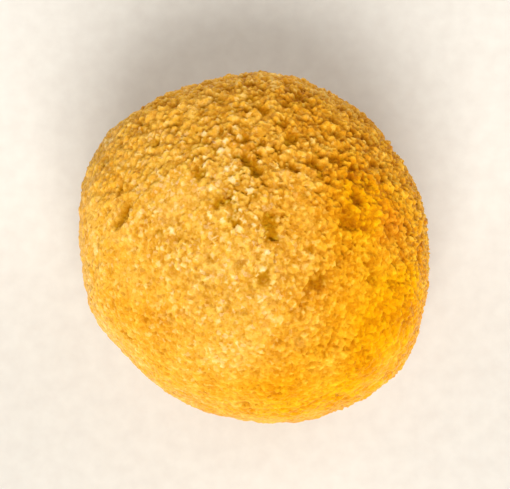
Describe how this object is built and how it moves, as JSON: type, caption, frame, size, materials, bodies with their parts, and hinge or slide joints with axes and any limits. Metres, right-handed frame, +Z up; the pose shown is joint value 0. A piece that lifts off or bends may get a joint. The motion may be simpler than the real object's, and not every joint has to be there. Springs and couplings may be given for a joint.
{
  "type": "ladoo",
  "caption": "Hand-rolled ladoo, a golden ball of fine sweet crumb with small pits and palm-pressed flats, resting on a small flat.",
  "frame": {"origin": "under the middle of the ball, on the small flat that it rests on", "axes": "+Z up, away from the flat; the ball's longest way across lies level, 40 degrees clockwise from +X seen from above"},
  "size_m": [0.0364, 0.0364, 0.0349],
  "materials": {
    "ladoo_crumb": "fine golden crumb with a faint sheen of fat"
  },
  "bodies": {
    "root": {"ladoo": "ladoo_crumb"}
  },
  "joints": []
}
